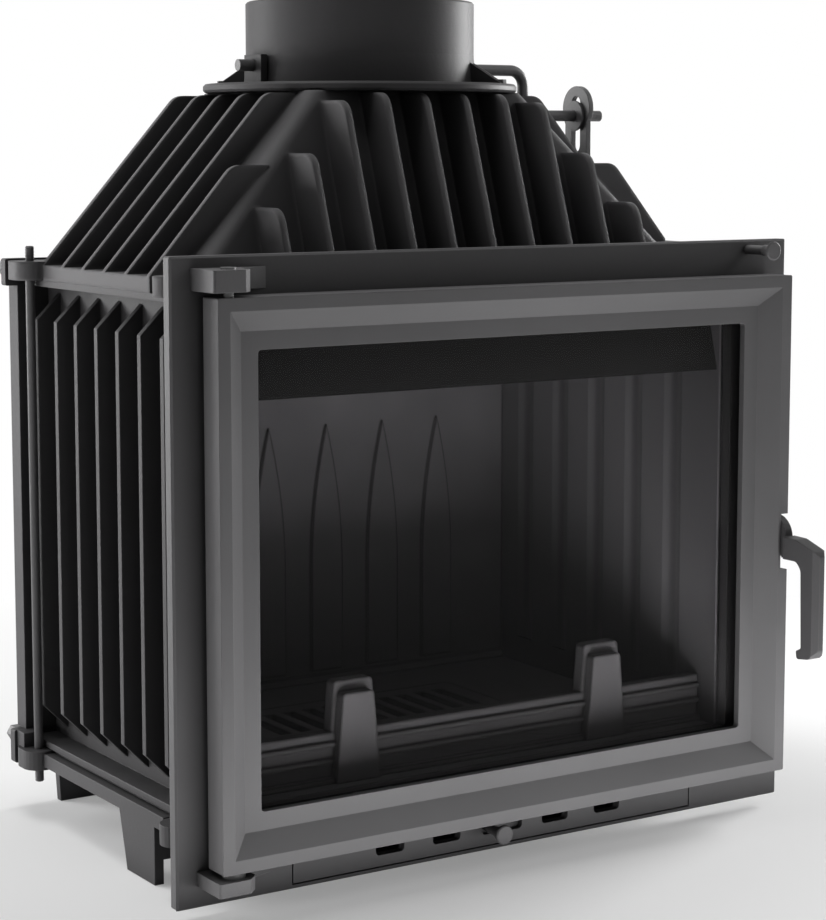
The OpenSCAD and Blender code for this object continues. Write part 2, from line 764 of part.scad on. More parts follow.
module front_fin(x) {
    top = min(hood_z2 - 2, hip_z(abs(x)) - fin_drop);
    along_x(x - hood_fin_t / 2, x + hood_fin_t / 2) polygon(rounded([
        [wall_y(hood_z1) + 3, hood_z1 - 1, 0], [wall_y(hood_z1) - hood_fin_d, hood_z1 - 1, 0],
        [wall_y(hood_z1) - hood_fin_d, hood_z1, 0],
        [wall_y(top) - hood_fin_d, top, fin_corner_r], [wall_y(top) + 3, top, 0]]));
}
module side_fin(y) {
    top = min(hood_z2 - 2, hip_side_z(y) - 12);
    foot = body_x;
    reach = foot - hood_low_x;
    along_y(y - hood_fin_t / 2, y + hood_fin_t / 2) polygon(rounded([
        [-wall_x(hood_z1) + 4, hood_z1 - 1, 0], [-foot, hood_z1 - 1, 0], [-foot, hood_z1, 0],
        [-wall_x(top) - reach - 4, top, fin_corner_r], [-wall_x(top) + 4, top, 0]]));
}
// Corner points of the sloping hood at height z, grown by grow and rounded by r
function hood_ring(grow, z, r) =
    let (k = (z - hood_z1) / hood_h,
        x = hood_low_x + (hood_top_x - hood_low_x) * k + grow,
        y0 = hood_low_y + (hood_top_y0 - hood_low_y) * k - grow,
        y1 = hood_back_y + (hood_top_y1 - hood_back_y) * k + grow)
    [for (p = rounded([[-x, y0, r], [x, y0, r], [x, y1, r], [-x, y1, r]])) [p[0], p[1], z]];
module hood_shell(grow, z0, z1, r) {
    low = hood_ring(grow, z0, r);
    n = len(low);
    polyhedron(points = concat(low, hood_ring(grow, z1, r)), faces = concat(
        [[for (i = [0:n - 1]) i]], [[for (i = [0:n - 1]) 2 * n - 1 - i]],
        [for (i = [0:n - 1]) [i, i + n, (i + 1) % n + n, (i + 1) % n]]));
}
module hood() {
    inner = wall_t * sqrt(1 + side_slope * side_slope);
    guide_w = 14;
    color(iron_dark) difference() {
        union() {
            hood_shell(0, hood_z1 - 1, hood_z2, hip_r);
            slab(-body_x, body_x, side_cut_y, body_y1, hood_z0, hood_z1);
            slab(-body_x + corner_cut, body_x - corner_cut, body_y0, side_cut_y + 1, hood_z0, hood_z1);
            corner_ears(hood_z0, hood_z1 + ear_rise, body_x - 20);
            for (i = [0:hood_fin_count - 1])
                front_fin((i - (hood_fin_count - 1) / 2) * hood_fin_pitch);
            mirrored() for (i = [0:side_fin_count - 1])
                side_fin(side_fin_first + i * side_fin_pitch);
        }
        hood_shell(-inner, hood_z0 - 1, hood_z2 - wall_t, 0);
        rod_z(0, flue_y, hood_z2 - 30, hood_z2 + 1, flue_in);
        // Room for the pull rod past the right-hand fins, and for its clamp
        slab(pull_x - pull_r - 3, body_x + 1, body_y0 - 1, pull_end + 34, hood_z1 + ear_rise,
            pull_z + pull_r + 2);
        slab(yoke_x - 5, body_x + 1, flue_y - clamp_room - 4, flue_y + clamp_room,
            hood_z1 + ear_rise, yoke_foot_z + yoke_t + 6);
        tie_holes(hood_z0 - 1, hood_z1 + ear_rise + 1);
        mirrored() rod_y(rear_bolt_x, body_y1 - rear_bolt_in - 1, body_y1 + 1, rear_bolt_z[1],
            bolt_r + bolt_clear);
        for (s = [-1, 1]) rotate_about_flue(s) rod_z(collar_bolt_r, 0, hood_z2 - 12, hood_z2 + 1,
            screw_r + bolt_clear);
    }
    // Guide of the pull rod, cast on the band
    color(iron_dark) difference() {
        slab(pull_x - guide_w / 2, body_x, guide_y - 5, guide_y + 5, hood_z1 - 1, pull_z + 8);
        rod_y(pull_x, guide_y - 6, guide_y + 6, pull_z, pull_r + run_clear);
    }
}
// Turns a piece drawn at radius r on +X to the front right or the rear left of the flue
module rotate_about_flue(s) {
    translate([0, flue_y, 0]) rotate([0, 0, s > 0 ? -45 : 135]) children();
}

module flue_collar() {
    color(iron) difference() {
        union() {
            translate([0, flue_y, 0]) rotate_extrude($fn = 120) polygon([[flue_in, collar_z0],
                [collar_flange_d / 2 - 2, collar_z0], [collar_flange_d / 2, collar_z0 + 2],
                [collar_flange_d / 2, collar_z1 - 2], [collar_flange_d / 2 - 2, collar_z1],
                [collar_r + collar_flare / 2, collar_z1], [collar_r, collar_z2],
                [collar_r, collar_z3 - 1.5], [collar_r - 1.5, collar_z3],
                [collar_in + 1, collar_z3], [collar_in, collar_z3 - 1]]);
            // Upright tab that steadies the shaft on the left
            slab(-tab_x - tab_t, -tab_x, flue_y - tab_w / 2, flue_y + tab_w / 2, collar_z1 - eps,
                tab_z1);
            slab(-tab_x, -collar_in - 2, flue_y - 9, flue_y + 9, collar_z1 - eps, tab_z1);
            slab(collar_in + 2, tab_x + 8, flue_y - 9, flue_y + 9, collar_z1 - eps, tab_z1);
            // Ribs beside the bolts
            for (s = [-1, 1]) rotate_about_flue(s) for (w = [-rib_apart, rib_apart])
                along_y(w - rib_t / 2, w + rib_t / 2) polygon([[collar_r - 2, collar_z1 - eps],
                    [collar_r + rib_d, collar_z1 - eps], [collar_r + rib_d, collar_z1 + 1],
                    [collar_r + 1, collar_z1 + rib_h], [collar_r - 2, collar_z1 + rib_h]]);
        }
        rod_x(-shaft_left - 10, tab_x + 20, flue_y, shaft_z, shaft_r + run_clear);
        for (s = [-1, 1]) rotate_about_flue(s) rod_z(collar_bolt_r, 0, collar_z0 - 1,
            collar_z1 + 1, screw_r + bolt_clear);
    }
}
module collar_bolts() {
    color(steel) for (s = [-1, 1]) rotate_about_flue(s) {
        rod_z(collar_bolt_r, 0, hood_z2 - 10, collar_z1 + eps, screw_r);
        hex_z(collar_bolt_r, 0, collar_z1, collar_z1 + small_head_t, small_head_r);
    }
}

// Outline of a pointed arch of half width w, springing at z0
module arch(x, z0, z1) {
    r = (arch_rise * arch_rise + arch_hw * arch_hw) / (2 * arch_hw);
    intersection() {
        translate([x - arch_hw + r, z0]) circle(r = r, $fn = 180);
        translate([x + arch_hw - r, z0]) circle(r = r, $fn = 180);
        translate([x - arch_hw, z0]) square([2 * arch_hw, arch_rise + 1]);
    }
    translate([x - arch_hw, z1]) square([2 * arch_hw, z0 - z1 + eps]);
}
module back_lining() {
    z0 = floor_z1;
    z1 = body_z1 - 42;
    color(iron) union() {
        along_y(lining_y0 + relief_t, lining_y1) box_outline(-floor_x, floor_x, z0, z1, 0);
        along_y(lining_y0, lining_y0 + relief_t + eps) for (i = [-2.5:1:2.5])
            arch(i * arch_pitch, z0 + arch_spring, z0 + 12);
        slab(-floor_x, floor_x, lining_y0, lining_y1, z0, z0 + 8);
    }
}

module baffle() {
    x = floor_x - 3;
    color(iron_dark) translate([0, baffle_y, baffle_lug_z]) rotate([-baffle_tilt, 0, 0])
        difference() {
            slab(-x, x, baffle_rear - baffle_len, baffle_rear, 0.3, 0.3 + baffle_t);
            mirrored() slab(floor_x - 30, floor_x, baffle_rear - baffle_len - 1,
                baffle_rear - baffle_len + 39, 0, baffle_t + 1);
        }
}

module hearth_plate() {
    color(iron_dark) difference() {
        slab(-floor_x, floor_x, body_y0 + cast_clear, lining_y1 - 0.2, floor_z0, floor_z1);
        slab(-grate_w / 2 - cast_clear, grate_w / 2 + cast_clear, grate_y - cast_clear,
            grate_y + grate_d + cast_clear, floor_z0 + grate_seat - 2, floor_z1 + 1);
        slab(-grate_w / 2 + grate_seat, grate_w / 2 - grate_seat, grate_y + grate_seat,
            grate_y + grate_d - grate_seat, floor_z0 - 1, floor_z1 + 1);
    }
}
module grate() {
    gap = (grate_w - 40 - grate_slots * grate_slot) / (grate_slots - 1);
    color(iron_dark) difference() {
        union() {
            slab(-grate_w / 2, grate_w / 2, grate_y, grate_y + grate_d, floor_z0 + grate_seat - 2,
                floor_z1);
            slab(-grate_w / 2 + 12, grate_w / 2 - 12, grate_y + 12, grate_y + grate_d - 12,
                floor_z0 - 4, floor_z0 + grate_seat);
        }
        for (i = [0:grate_slots - 1]) translate([-grate_w / 2 + 20 + i * (grate_slot + gap), 0, 0])
            for (k = [0, 1]) slab(0, grate_slot, grate_y + 20 + k * (grate_d / 2 - 12),
                grate_y + grate_d / 2 - 8 + k * (grate_d / 2 - 12), floor_z0 - 5, floor_z1 + 1);
    }
}
module ash_pan() {
    x = grate_w / 2 - 14;
    y0 = grate_y + 14;
    y1 = grate_y + grate_d - 14;
    z0 = well_floor;
    color(steel) difference() {
        union() {
            slab(-x, x, y0, y1, z0, z0 + pan_h);
            slab(-x - 3, x + 3, y0 - 3, y1 + 3, z0 + pan_h - pan_t, z0 + pan_h);
        }
        slab(-x + pan_t, x - pan_t, y0 + pan_t, y1 - pan_t, z0 + pan_t, z0 + pan_h + 1);
    }
}
module log_guard() {
    z0 = floor_z1 + 0.3;
    x = floor_x - 2;
    color(iron_dark) union() {
        slab(-x, x, guard_y, guard_y + guard_t, z0, z0 + guard_h);
        for (z = [z0 + guard_h * 0.4, z0 + guard_h * 0.72])
            slab(-x, x, guard_y - 3, guard_y + 1, z, z + guard_rib_h);
        slab(-x, x, guard_y - guard_toe, guard_y + guard_t + guard_heel, z0, z0 + guard_foot_t);
        for (s = [-1, 1]) {
            c = s * upright_pitch / 2;
            along_y(guard_y - 8, guard_y + 2) polygon(rounded([[c - upright_w * 0.72, z0, 0],
                [c + upright_w * 0.72, z0, 0], [c + upright_w / 2, z0 + upright_h, 3],
                [c - upright_w / 2, z0 + upright_h, 3]]));
            along_y(guard_y + 1, guard_y + guard_t + 2) polygon(rounded([
                [c - upright_w * 0.85, z0, 0], [c + upright_w * 0.85, z0, 0],
                [c + upright_w * 0.62, z0 + upright_h + 9, 4],
                [c - upright_w * 0.62, z0 + upright_h + 9, 4]]));
        }
    }
}
module air_wash_plate() {
    z1 = aperture_z1 + wash_rise;
    z0 = window_z1 - wash_drop;
    y1 = body_y0 + wash_t;
    color(iron_dark) difference() {
        along_x(-wall_x0 + 1, wall_x0 - 1) polygon([[body_y0, aperture_z1 + 2],
            [body_y0 + wash_nose, window_z1], [body_y0 + 1.5, z0], [body_y0 + 1.5 + wash_t, z0],
            [body_y0 + wash_nose + wash_t + 1, window_z1], [y1, aperture_z1 + 6], [y1, z1], [body_y0, z1]]);
        mirrored() rod_y(wash_screw_x, 0, y1 + 1, wash_screw_z, screw_r + bolt_clear);
    }
}
module wash_plate_screws() {
    color(steel) mirrored() {
        rod_y(wash_screw_x, 4, body_y0 + wash_t + eps, wash_screw_z, screw_r);
        hex_y(wash_screw_x, body_y0 + wash_t, body_y0 + wash_t + small_head_t, wash_screw_z,
            small_head_r);
    }
}

module tie_rods() {
    color(steel) mirrored() for (y = tie_y)
        rod_z(tie_x, y, base_z0 - ear_rise - tie_proud, hood_z1 + ear_rise + tie_proud, tie_r);
}
module plate_bolts() {
    y0 = plate_t - plate_bolt_deep;
    y1 = body_y0 + front_flange_t;
    color(steel) mirrored() for (z = plate_bolt_z) {
        rod_y(plate_bolt_x, y0, y1 + eps, z, bolt_r);
        hex_y(plate_bolt_x, y1, y1 + head_t, z, head_r);
    }
}
module rear_bolts() {
    y1 = body_y1 + rear_lug_t;
    color(steel) mirrored() for (z = rear_bolt_z) {
        rod_y(rear_bolt_x, body_y1 - rear_bolt_in, rear_nut_y1 + 1, z, bolt_r);
        hex_y(rear_bolt_x, y1, rear_nut_y1, z, rear_nut_r);
    }
}

module air_bar() {
    lip_y = air_wall + slider_t + 1;
    color(iron) difference() {
        union() {
            slab(-air_x, air_x, 0, air_wall, air_z0, air_z1);
            for (z = [air_z0, air_z1 - air_leg]) slab(-air_x, air_x, air_wall - eps,
                lip_y + air_lip, z, z + air_leg);
            slab(-air_x, air_x, lip_y, lip_y + air_lip, air_z0, air_z0 + air_leg + 2.5);
            slab(-air_x, air_x, lip_y, lip_y + air_lip, air_z1 - air_leg - 2.5, air_z1);
            mirrored() {
                slab(air_x - 12, air_x, 0, plate_t + 3, air_z0, air_z1);
                slab(air_x - 12, air_x + 14, plate_t, plate_t + 3, air_z0, air_z1);
            }
        }
        for (i = air_slot_list) along_y(-1, air_wall + 1) box_outline(
            i * slot_pitch - air_slot_w / 2, i * slot_pitch + air_slot_w / 2,
            air_zc - air_slot_h / 2, air_zc + air_slot_h / 2, 3.5);
        along_y(-1, air_wall + 1) box_outline(air_mid_x - air_mid_w / 2, air_mid_x + air_mid_w / 2,
            air_zc - air_slot_h / 2, air_zc + air_slot_h / 2, 3.5);
        mirrored() rod_y(air_screw_x, -1, plate_t + 4, (air_z0 + air_z1) / 2,
            screw_r + bolt_clear);
    }
}
module air_bar_screws() {
    color(steel) mirrored() {
        rod_y(air_screw_x, 4, plate_t + 3 + eps, (air_z0 + air_z1) / 2, screw_r);
        hex_y(air_screw_x, plate_t + 3, plate_t + 3 + small_head_t, (air_z0 + air_z1) / 2,
            small_head_r);
    }
}
module air_slider() {
    y0 = air_wall + slider_gap;
    color(steel) difference() {
        slab(-slider_x, slider_x, y0, y0 + slider_t, air_z0 + air_leg + slider_gap,
            air_z1 - air_leg - slider_gap);
        for (i = air_slot_list) along_y(y0 - 1, y0 + slider_t + 1) box_outline(
            i * slot_pitch - air_slot_w / 2, i * slot_pitch + air_slot_w / 2,
            air_zc - air_slot_h / 2, air_zc + air_slot_h / 2, 3);
        rod_y(-air_knob_x, 0, y0 + slider_t + 1, air_zc, stem_r + run_clear);
    }
}
// A knob whose neck widens to a flat round head, along -Y
module knob(neck_r, len) {
    rotate([90, 0, 0]) rotate_extrude() polygon([[0, 0], [neck_r, 0], [neck_r, len * 0.35],
        [neck_r + 0.6, len * 0.5], [knob_d / 2 - 1.2, len * 0.8], [knob_d / 2, len * 0.88],
        [knob_d / 2, len - 1], [knob_d / 2 - 1, len], [0, len]]);
}
module air_knob() {
    color(iron) union() {
        rod_y(-air_knob_x, -2, air_wall + slider_gap + slider_t, air_zc, stem_r);
        translate([-air_knob_x, -1, air_zc]) knob(stem_r + 0.8, air_knob_proud - 1);
    }
}

module hinge_pins() {
    color(steel) {
        rod_z(hinge_x, hinge_y, door_z1 - hinge_pin_reach, door_z1 + lug_gap + hinge_lug_t + eps,
            hinge_pin_r);
        rod_z(hinge_x, hinge_y, door_z1 + lug_gap + hinge_lug_t,
            door_z1 + lug_gap + hinge_lug_t + pin_head_t - 1.5, hinge_pin_r + 2);
        rod_z(hinge_x, hinge_y, door_z0 - lug_gap - hinge_lug_low_t - eps,
            door_z0 + hinge_pin_reach, hinge_pin_r);
        rod_z(hinge_x, hinge_y, door_z0 - lug_gap - hinge_lug_low_t - pin_head_t,
            door_z0 - lug_gap - hinge_lug_low_t, hinge_pin_r + 2);
    }
}
module hinge_washer() {
    color(steel) difference() {
        rod_z(hinge_x, hinge_y, door_z0 - lug_gap, door_z0 - lug_gap + washer_h, hinge_pin_r + 5);
        rod_z(hinge_x, hinge_y, door_z0 - lug_gap - 1, door_z0 + 1, hinge_pin_r + run_clear);
    }
}
// Small block on the plate that the handle's hub presses on, held by its own stud
module latch_catch() {
    color(steel) union() {
        along_x(catch_x - catch_w / 2, catch_x + catch_w / 2) polygon(rounded([
            [0, hub_notch_z0 + 0.5, 0], [catch_y, hub_notch_z0 + 0.5, 1.5],
            [catch_y, handle_zc - hub_r - hub_gap, 1.5], [0, handle_zc - hub_r - hub_gap, 0]]));
        rod_y(catch_x, -eps, plate_t + 6, hub_notch_z0 + 4, catch_r);
    }
}

module door_frame() {
    bx = door_x - rim_w;
    wx = door_x - band_inset;
    bz = door_h / 2 - rim_w;
    wz = door_h / 2 - band_inset;
    // The bevel's slope, carried 5 in front of the rim
    front_y = door_y0 - 5 * bevel_drop / bevel_w;
    color(iron) difference() {
        along_y(door_y0, door_y1) box_outline(-door_x, door_x, door_z0, door_z1, 1.5);
        // Bevel, as a shallow pyramid
        intersection() {
            translate([0, 0, door_zm - bz - 20]) linear_extrude(2 * bz + 40) polygon([
                [-bx - 5, front_y], [bx + 5, front_y], [wx, band_y], [-wx, band_y]]);
            along_x(-bx - 20, bx + 20) polygon([
                [front_y, door_zm - bz - 5], [front_y, door_zm + bz + 5],
                [band_y, door_zm + wz], [band_y, door_zm - wz]]);
        }
        along_y(door_y0 - 1, door_y1 + 1)
            box_outline(-window_x, window_x, window_z0, window_z1, window_r);
        // Recess for the tape, the glass and its clips
        along_y(tape_y, door_y1 + 1)
            box_outline(-recess_x, recess_x, door_zm - recess_z, door_zm + recess_z, 4);
        // Groove for the rope seal
        door_ring(rope_inset - 0.3, rope_d + 0.6, door_y1 - rope_d + 3.5, door_y1 + 1, 8);
        // Notch for the handle's hub, and the hole for its pin
        slab(door_x - notch_d, door_x + 1, door_y0 - 1, door_y1 + 1, hub_notch_z0, hub_notch_z1);
        rod_x(door_x - notch_d - handle_pin_in, door_x, handle_y, handle_zc,
            handle_pin_d / 2 + run_clear);
        // Hinge bores
        rod_z(hinge_x, hinge_y, door_z1 - hinge_pin_reach - 2, door_z1 + 1, hinge_pin_r + run_clear);
        rod_z(hinge_x, hinge_y, door_z0 - 1, door_z0 + hinge_pin_reach + 2, hinge_pin_r + run_clear);
        // Relief of the rear left edge, which swings past the plate
        translate([-door_x, door_y1, door_zm]) rotate([0, 0, 45]) cube([9, 9, door_h + 2], center = true);
        mirrored() for (z = clip_z) {
            rod_y(clip_x, tape_y - 3.5, door_y1 + 1, z, screw_r + bolt_clear);
            slab(clip_x - clip_hx - cast_clear, clip_x + clip_hx + cast_clear, glass_back,
                door_y1 + 1, z - clip_hz - cast_clear, z + clip_hz + cast_clear);
        }
    }
}
module glass_tape() {
    color([0.6, 0.6, 0.58]) difference() {
        along_y(tape_y, glass_y) box_outline(-window_x - tape_w, window_x + tape_w,
            window_z0 - tape_w, window_z1 + tape_w, 3);
        along_y(tape_y - 1, glass_y + 1)
            box_outline(-window_x - 1, window_x + 1, window_z0 - 1, window_z1 + 1, 3);
        mirrored() for (z = clip_z) rod_y(clip_x, tape_y - 1, glass_y + 1, z, screw_r + 1);
    }
}
module door_glass() {
    x = recess_x - cast_clear;
    z = recess_z - cast_clear;
    color([0.35, 0.36, 0.38, 0.4]) difference() {
        along_y(glass_y, glass_back) box_outline(-x, x, door_zm - z, door_zm + z, 4);
        mirrored() for (c = clip_z) rod_y(clip_x, glass_y - 1, glass_back + 1, c, screw_r + 1.5);
    }
}
module glass_clips() {
    color(steel) mirrored() for (i = [0, 1]) difference() {
        slab(clip_x - clip_hx, clip_x + clip_hx, glass_back, glass_back + clip_t, clip_z[i] - clip_hz,
            clip_z[i] + clip_hz);
        rod_y(clip_x, glass_back - 1, glass_back + clip_t + 1, clip_z[i], screw_r + bolt_clear);
    }
}
module clip_screws() {
    y1 = glass_back + clip_t;
    color(steel) mirrored() for (z = clip_z) {
        rod_y(clip_x, tape_y - 3, y1 + eps, z, screw_r);
        rod_y(clip_x, y1, y1 + 2.5, z, screw_r + 2);
    }
}
module door_rope() {
    color([0.3, 0.3, 0.29]) door_ring(rope_inset, rope_d, door_y1 - rope_d + 3.8, -0.3, 8);
}
module handle_pin() {
    color(steel) rod_x(door_x - notch_d - handle_pin_in + 0.3, door_x + 1.2, handle_y, handle_zc,
        handle_pin_d / 2);
}
module door_handle() {
    yf = handle_y - grip_reach;
    yb = yf + grip_t;
    zt = handle_zc - 6;
    zb = zt - grip_len;
    x0 = hub_x0 - 1;
    color(iron) difference() {
        union() {
            rod_x(hub_x0, hub_x1, handle_y, handle_zc, hub_r);
            // Arm and grip, with facets along the outer edges
            intersection() {
                along_x(x0 - 3, x0 - 3 + grip_w) polygon(rounded([
                    [handle_y - 12, handle_zc + 2, 0], [handle_y - 34, handle_zc + 1.5, 12],
                    [yf + 4, zt, 3], [yf, zt - 4, 3], [yf, zb + 6, 4], [yf + 8, zb - 2, 6],
                    [yb + 6, zb - 4, 2.5], [yb + 7, zb + 3, 2], [yb + 1, zb + 6, 2],
                    [yb + 3, handle_zc - hub_r - 5, 9], [yb + 9, handle_zc - hub_r + 1, 6],
                    [handle_y - 12, handle_zc - hub_r + 1, 0]]));
                union() {
                    slab(x0 - 4, x0 + grip_w, yf - 1, handle_y - arm_start, zb - 10, handle_zc + 20);
                    slab(hub_x0, hub_x1, yf - 1, handle_y, zb - 10, handle_zc + 20);
                }
                translate([0, 0, zb - 10]) linear_extrude(grip_len + 60) polygon([
                    [x0 - 3, handle_y], [x0 - 3, yf + 5], [x0 + 1, yf - eps],
                    [x0 - 7 + grip_w, yf - eps], [x0 - 3 + grip_w, yf + 5], [x0 - 3 + grip_w, handle_y]]);
            }
        }
        rod_x(hub_x0 - 1, hub_x1 + 1, handle_y, handle_zc, handle_pin_d / 2 + run_clear);
    }
}

module damper_shaft() {
    x1 = crank_x;
    r = shaft_bend_r;
    color(steel) difference() {
        union() {
            rod_x(-shaft_left, x1 - r, flue_y, shaft_z, shaft_r);
            // Bend down, straight crank, bend out
            translate([x1 - r, flue_y, shaft_z - r]) rotate([90, 0, 0])
                rotate_extrude(angle = 90) translate([r, 0]) circle(r = shaft_r);
            rod_z(x1, flue_y, crank_z + r, shaft_z - r, shaft_r);
            translate([x1 + r, flue_y, crank_z + r]) rotate([90, 0, 0])
                rotate_extrude(angle = 90, start = 180) translate([r, 0]) circle(r = shaft_r);
            rod_x(x1 + r, crank_end, flue_y, crank_z, shaft_r);
        }
        // Flat that the flap is bolted to
        flap_turn() slab(-flap_r - 1, flap_r + 1, -shaft_r - 1, shaft_r + 1, 1, shaft_r + 1);
        flap_bolt_places() rod_z(0, 0, -shaft_r - 1, shaft_r + 1, flap_bolt_r + bolt_clear);
    }
}
module flap_turn() {
    translate([0, flue_y, shaft_z]) rotate([-flap_slope, 0, 0]) children();
}
module flap_bolt_places() {
    flap_turn() for (x = [-45, 45]) translate([x, 0, 0]) children();
}
module damper_flap() {
    color(iron_dark) difference() {
        flap_turn() rod_z(0, 0, 1, 1 + flap_t, flap_r);
        flap_bolt_places() rod_z(0, 0, 0, 2 + flap_t, flap_bolt_r + bolt_clear);
    }
}
module flap_bolts() {
    color(steel) flap_bolt_places() {
        rod_z(0, 0, -shaft_r - 2, 1 + flap_t + eps, flap_bolt_r);
        rod_z(0, 0, 1 + flap_t, 1 + flap_t + flap_head_t, 2 * flap_bolt_r);
    }
}
module crank_washer() {
    color(steel) difference() {
        rod_x(yoke_x - 3.3, yoke_x - 0.8, flue_y, crank_z, washer_d / 2);
        rod_x(yoke_x - 5, yoke_x, flue_y, crank_z, shaft_r + run_clear);
    }
}

module yoke_plate() {
    hw = yoke_w / 2;
    head = crank_z + 7;
    x1 = pull_x + clamp_w / 2;
    color(iron) difference() {
        union() {
            along_x(yoke_x, yoke_x + yoke_t) union() {
                translate([flue_y, head]) circle(r = yoke_head_d / 2);
                polygon([[flue_y - hw, head], [flue_y + hw, head], [flue_y + hw, yoke_foot_z + 25],
                    [flue_y + hw + 4, yoke_foot_z], [flue_y - hw - 4, yoke_foot_z],
                    [flue_y - hw, yoke_foot_z + 25]]);
            }
            slab(yoke_x, x1, flue_y - clamp_d / 2, flue_y + clamp_d / 2, yoke_foot_z,
                yoke_foot_z + yoke_t);
            slab(x1 - clamp_w, x1, flue_y - clamp_d / 2, flue_y + clamp_d / 2, pull_z - 8,
                yoke_foot_z + eps);
        }
        along_x(yoke_x - 1, yoke_x + yoke_t + 1) union() {
            translate([flue_y, crank_z + 12]) circle(r = slot_w / 2);
            translate([flue_y, crank_z - 27]) circle(r = slot_w / 2);
            polygon([[flue_y - slot_w / 2, crank_z - 27], [flue_y + slot_w / 2, crank_z - 27],
                [flue_y + slot_w / 2, crank_z + 12], [flue_y - slot_w / 2, crank_z + 12]]);
        }
        rod_y(pull_x, flue_y - clamp_d, flue_y + clamp_d, pull_z, pull_r + run_clear);
    }
}
module pull_rod() {
    color(steel) rod_y(pull_x, -pull_proud + 2, pull_end, pull_z, pull_r);
}
module yoke_nuts() {
    color(steel) for (y = [flue_y - clamp_d / 2 - 6, flue_y + clamp_d / 2]) difference() {
        hex_y(pull_x, y, y + 6, pull_z, 7);
        rod_y(pull_x, y - 1, y + 7, pull_z, pull_r + run_clear);
    }
}
module pull_knob() {
    color(iron) difference() {
        translate([pull_x, pull_knob_len - pull_proud, pull_z]) knob(pull_r + 0.8, pull_knob_len);
        rod_y(pull_x, -pull_proud + 2, 0, pull_z, pull_r + run_clear);
    }
}

// Moves the insert so that its frame stands at the middle of its footprint
module set_down() {
    translate([0, -frame_y, 0]) children();
}
set_down() front_plate();
set_down() base();
set_down() side_panel_left();
set_down() side_panel_right();
set_down() back_panel();
set_down() hood();
set_down() flue_collar();
set_down() back_lining();
set_down() baffle();
set_down() air_wash_plate();
set_down() wash_plate_screws();
set_down() hearth_plate();
set_down() ash_pan();
set_down() tie_rods();
set_down() collar_bolts();
set_down() plate_bolts();
set_down() rear_bolts();
set_down() air_bar();
set_down() air_bar_screws();
set_down() latch_catch();
set_down() hinge_pins();
set_down() hinge_washer();
set_down() door_frame();
set_down() door_glass();
set_down() glass_tape();
set_down() door_rope();
set_down() glass_clips();
set_down() clip_screws();
set_down() handle_pin();
set_down() door_handle();
set_down() damper_shaft();
set_down() damper_flap();
set_down() flap_bolts();
set_down() crank_washer();
set_down() pull_rod();
set_down() pull_knob();
set_down() yoke_plate();
set_down() yoke_nuts();
set_down() air_slider();
set_down() air_knob();
set_down() grate();
set_down() log_guard();
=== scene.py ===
"""Cast iron fireplace insert: finishes, small pieces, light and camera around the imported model."""
import json
import math

import bpy
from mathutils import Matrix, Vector


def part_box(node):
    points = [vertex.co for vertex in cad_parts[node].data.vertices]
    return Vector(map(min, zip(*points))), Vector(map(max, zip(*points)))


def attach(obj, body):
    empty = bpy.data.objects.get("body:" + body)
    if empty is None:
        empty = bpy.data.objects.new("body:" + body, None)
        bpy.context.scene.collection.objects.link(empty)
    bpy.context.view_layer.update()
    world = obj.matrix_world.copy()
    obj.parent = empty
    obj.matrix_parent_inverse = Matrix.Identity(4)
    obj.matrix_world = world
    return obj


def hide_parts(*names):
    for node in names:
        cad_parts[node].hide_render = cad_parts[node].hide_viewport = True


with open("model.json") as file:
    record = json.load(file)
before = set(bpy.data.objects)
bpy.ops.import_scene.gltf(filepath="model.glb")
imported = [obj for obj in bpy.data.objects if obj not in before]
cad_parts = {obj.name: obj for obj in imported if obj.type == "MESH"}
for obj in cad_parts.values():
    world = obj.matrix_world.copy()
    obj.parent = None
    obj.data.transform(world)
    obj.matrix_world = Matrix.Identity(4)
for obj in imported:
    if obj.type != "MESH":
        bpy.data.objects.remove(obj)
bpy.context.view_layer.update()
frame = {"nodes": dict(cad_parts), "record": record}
scene = bpy.context.scene
nodes = frame["nodes"]
slots = {part["node"]: part["material_slot"] for part in frame["record"]["subparts"]}

# ---- Camera: the photo's viewpoint, in metres and degrees
EYE = (-1.0708, -1.6649, 0.5884)
EYE_TURN, EYE_TILT = 32.89, -6.67
FOCAL_PIXELS, LONG_SIDE_PIXELS, SENSOR = 2312, 920, 36
FRAME_SHIFT, NEAR_CUT, FAR_CUT = -0.05, 0.05, 100

camera_data = bpy.data.cameras.new("camera")
camera_data.sensor_width = SENSOR
camera_data.lens = SENSOR * FOCAL_PIXELS / LONG_SIDE_PIXELS
camera_data.shift_y = FRAME_SHIFT
camera_data.clip_start, camera_data.clip_end = NEAR_CUT, FAR_CUT
camera = bpy.data.objects.new("camera", camera_data)
camera.location = EYE
camera.rotation_euler = (math.radians(90 + EYE_TILT), 0, math.radians(-EYE_TURN))
scene.collection.objects.link(camera)
scene.camera = camera


# ---- Shader maths
class Value:
    """A shader socket that takes part in plain sums."""

    def __init__(self, shade, socket):
        self.shade, self.socket = shade, socket

    def sum(self, operation, *terms):
        return self.shade.node("ShaderNodeMath", {"operation": operation}, dict(enumerate(terms)))

    def __add__(self, other):
        return self.sum("ADD", self, other)

    def __sub__(self, other):
        return self.sum("SUBTRACT", self, other)

    def __rsub__(self, other):
        return self.sum("SUBTRACT", other, self)

    def __mul__(self, other):
        return self.sum("MULTIPLY", self, other)

    def __abs__(self):
        return self.sum("ABSOLUTE", self)

    __radd__ = __add__
    __rmul__ = __mul__

    def within(self, low, high):
        """0 at low, 1 at high, and straight between them."""
        return self.shade.node("ShaderNodeMapRange", {"clamp": True},
                               {"Value": self, "From Min": low, "From Max": high})


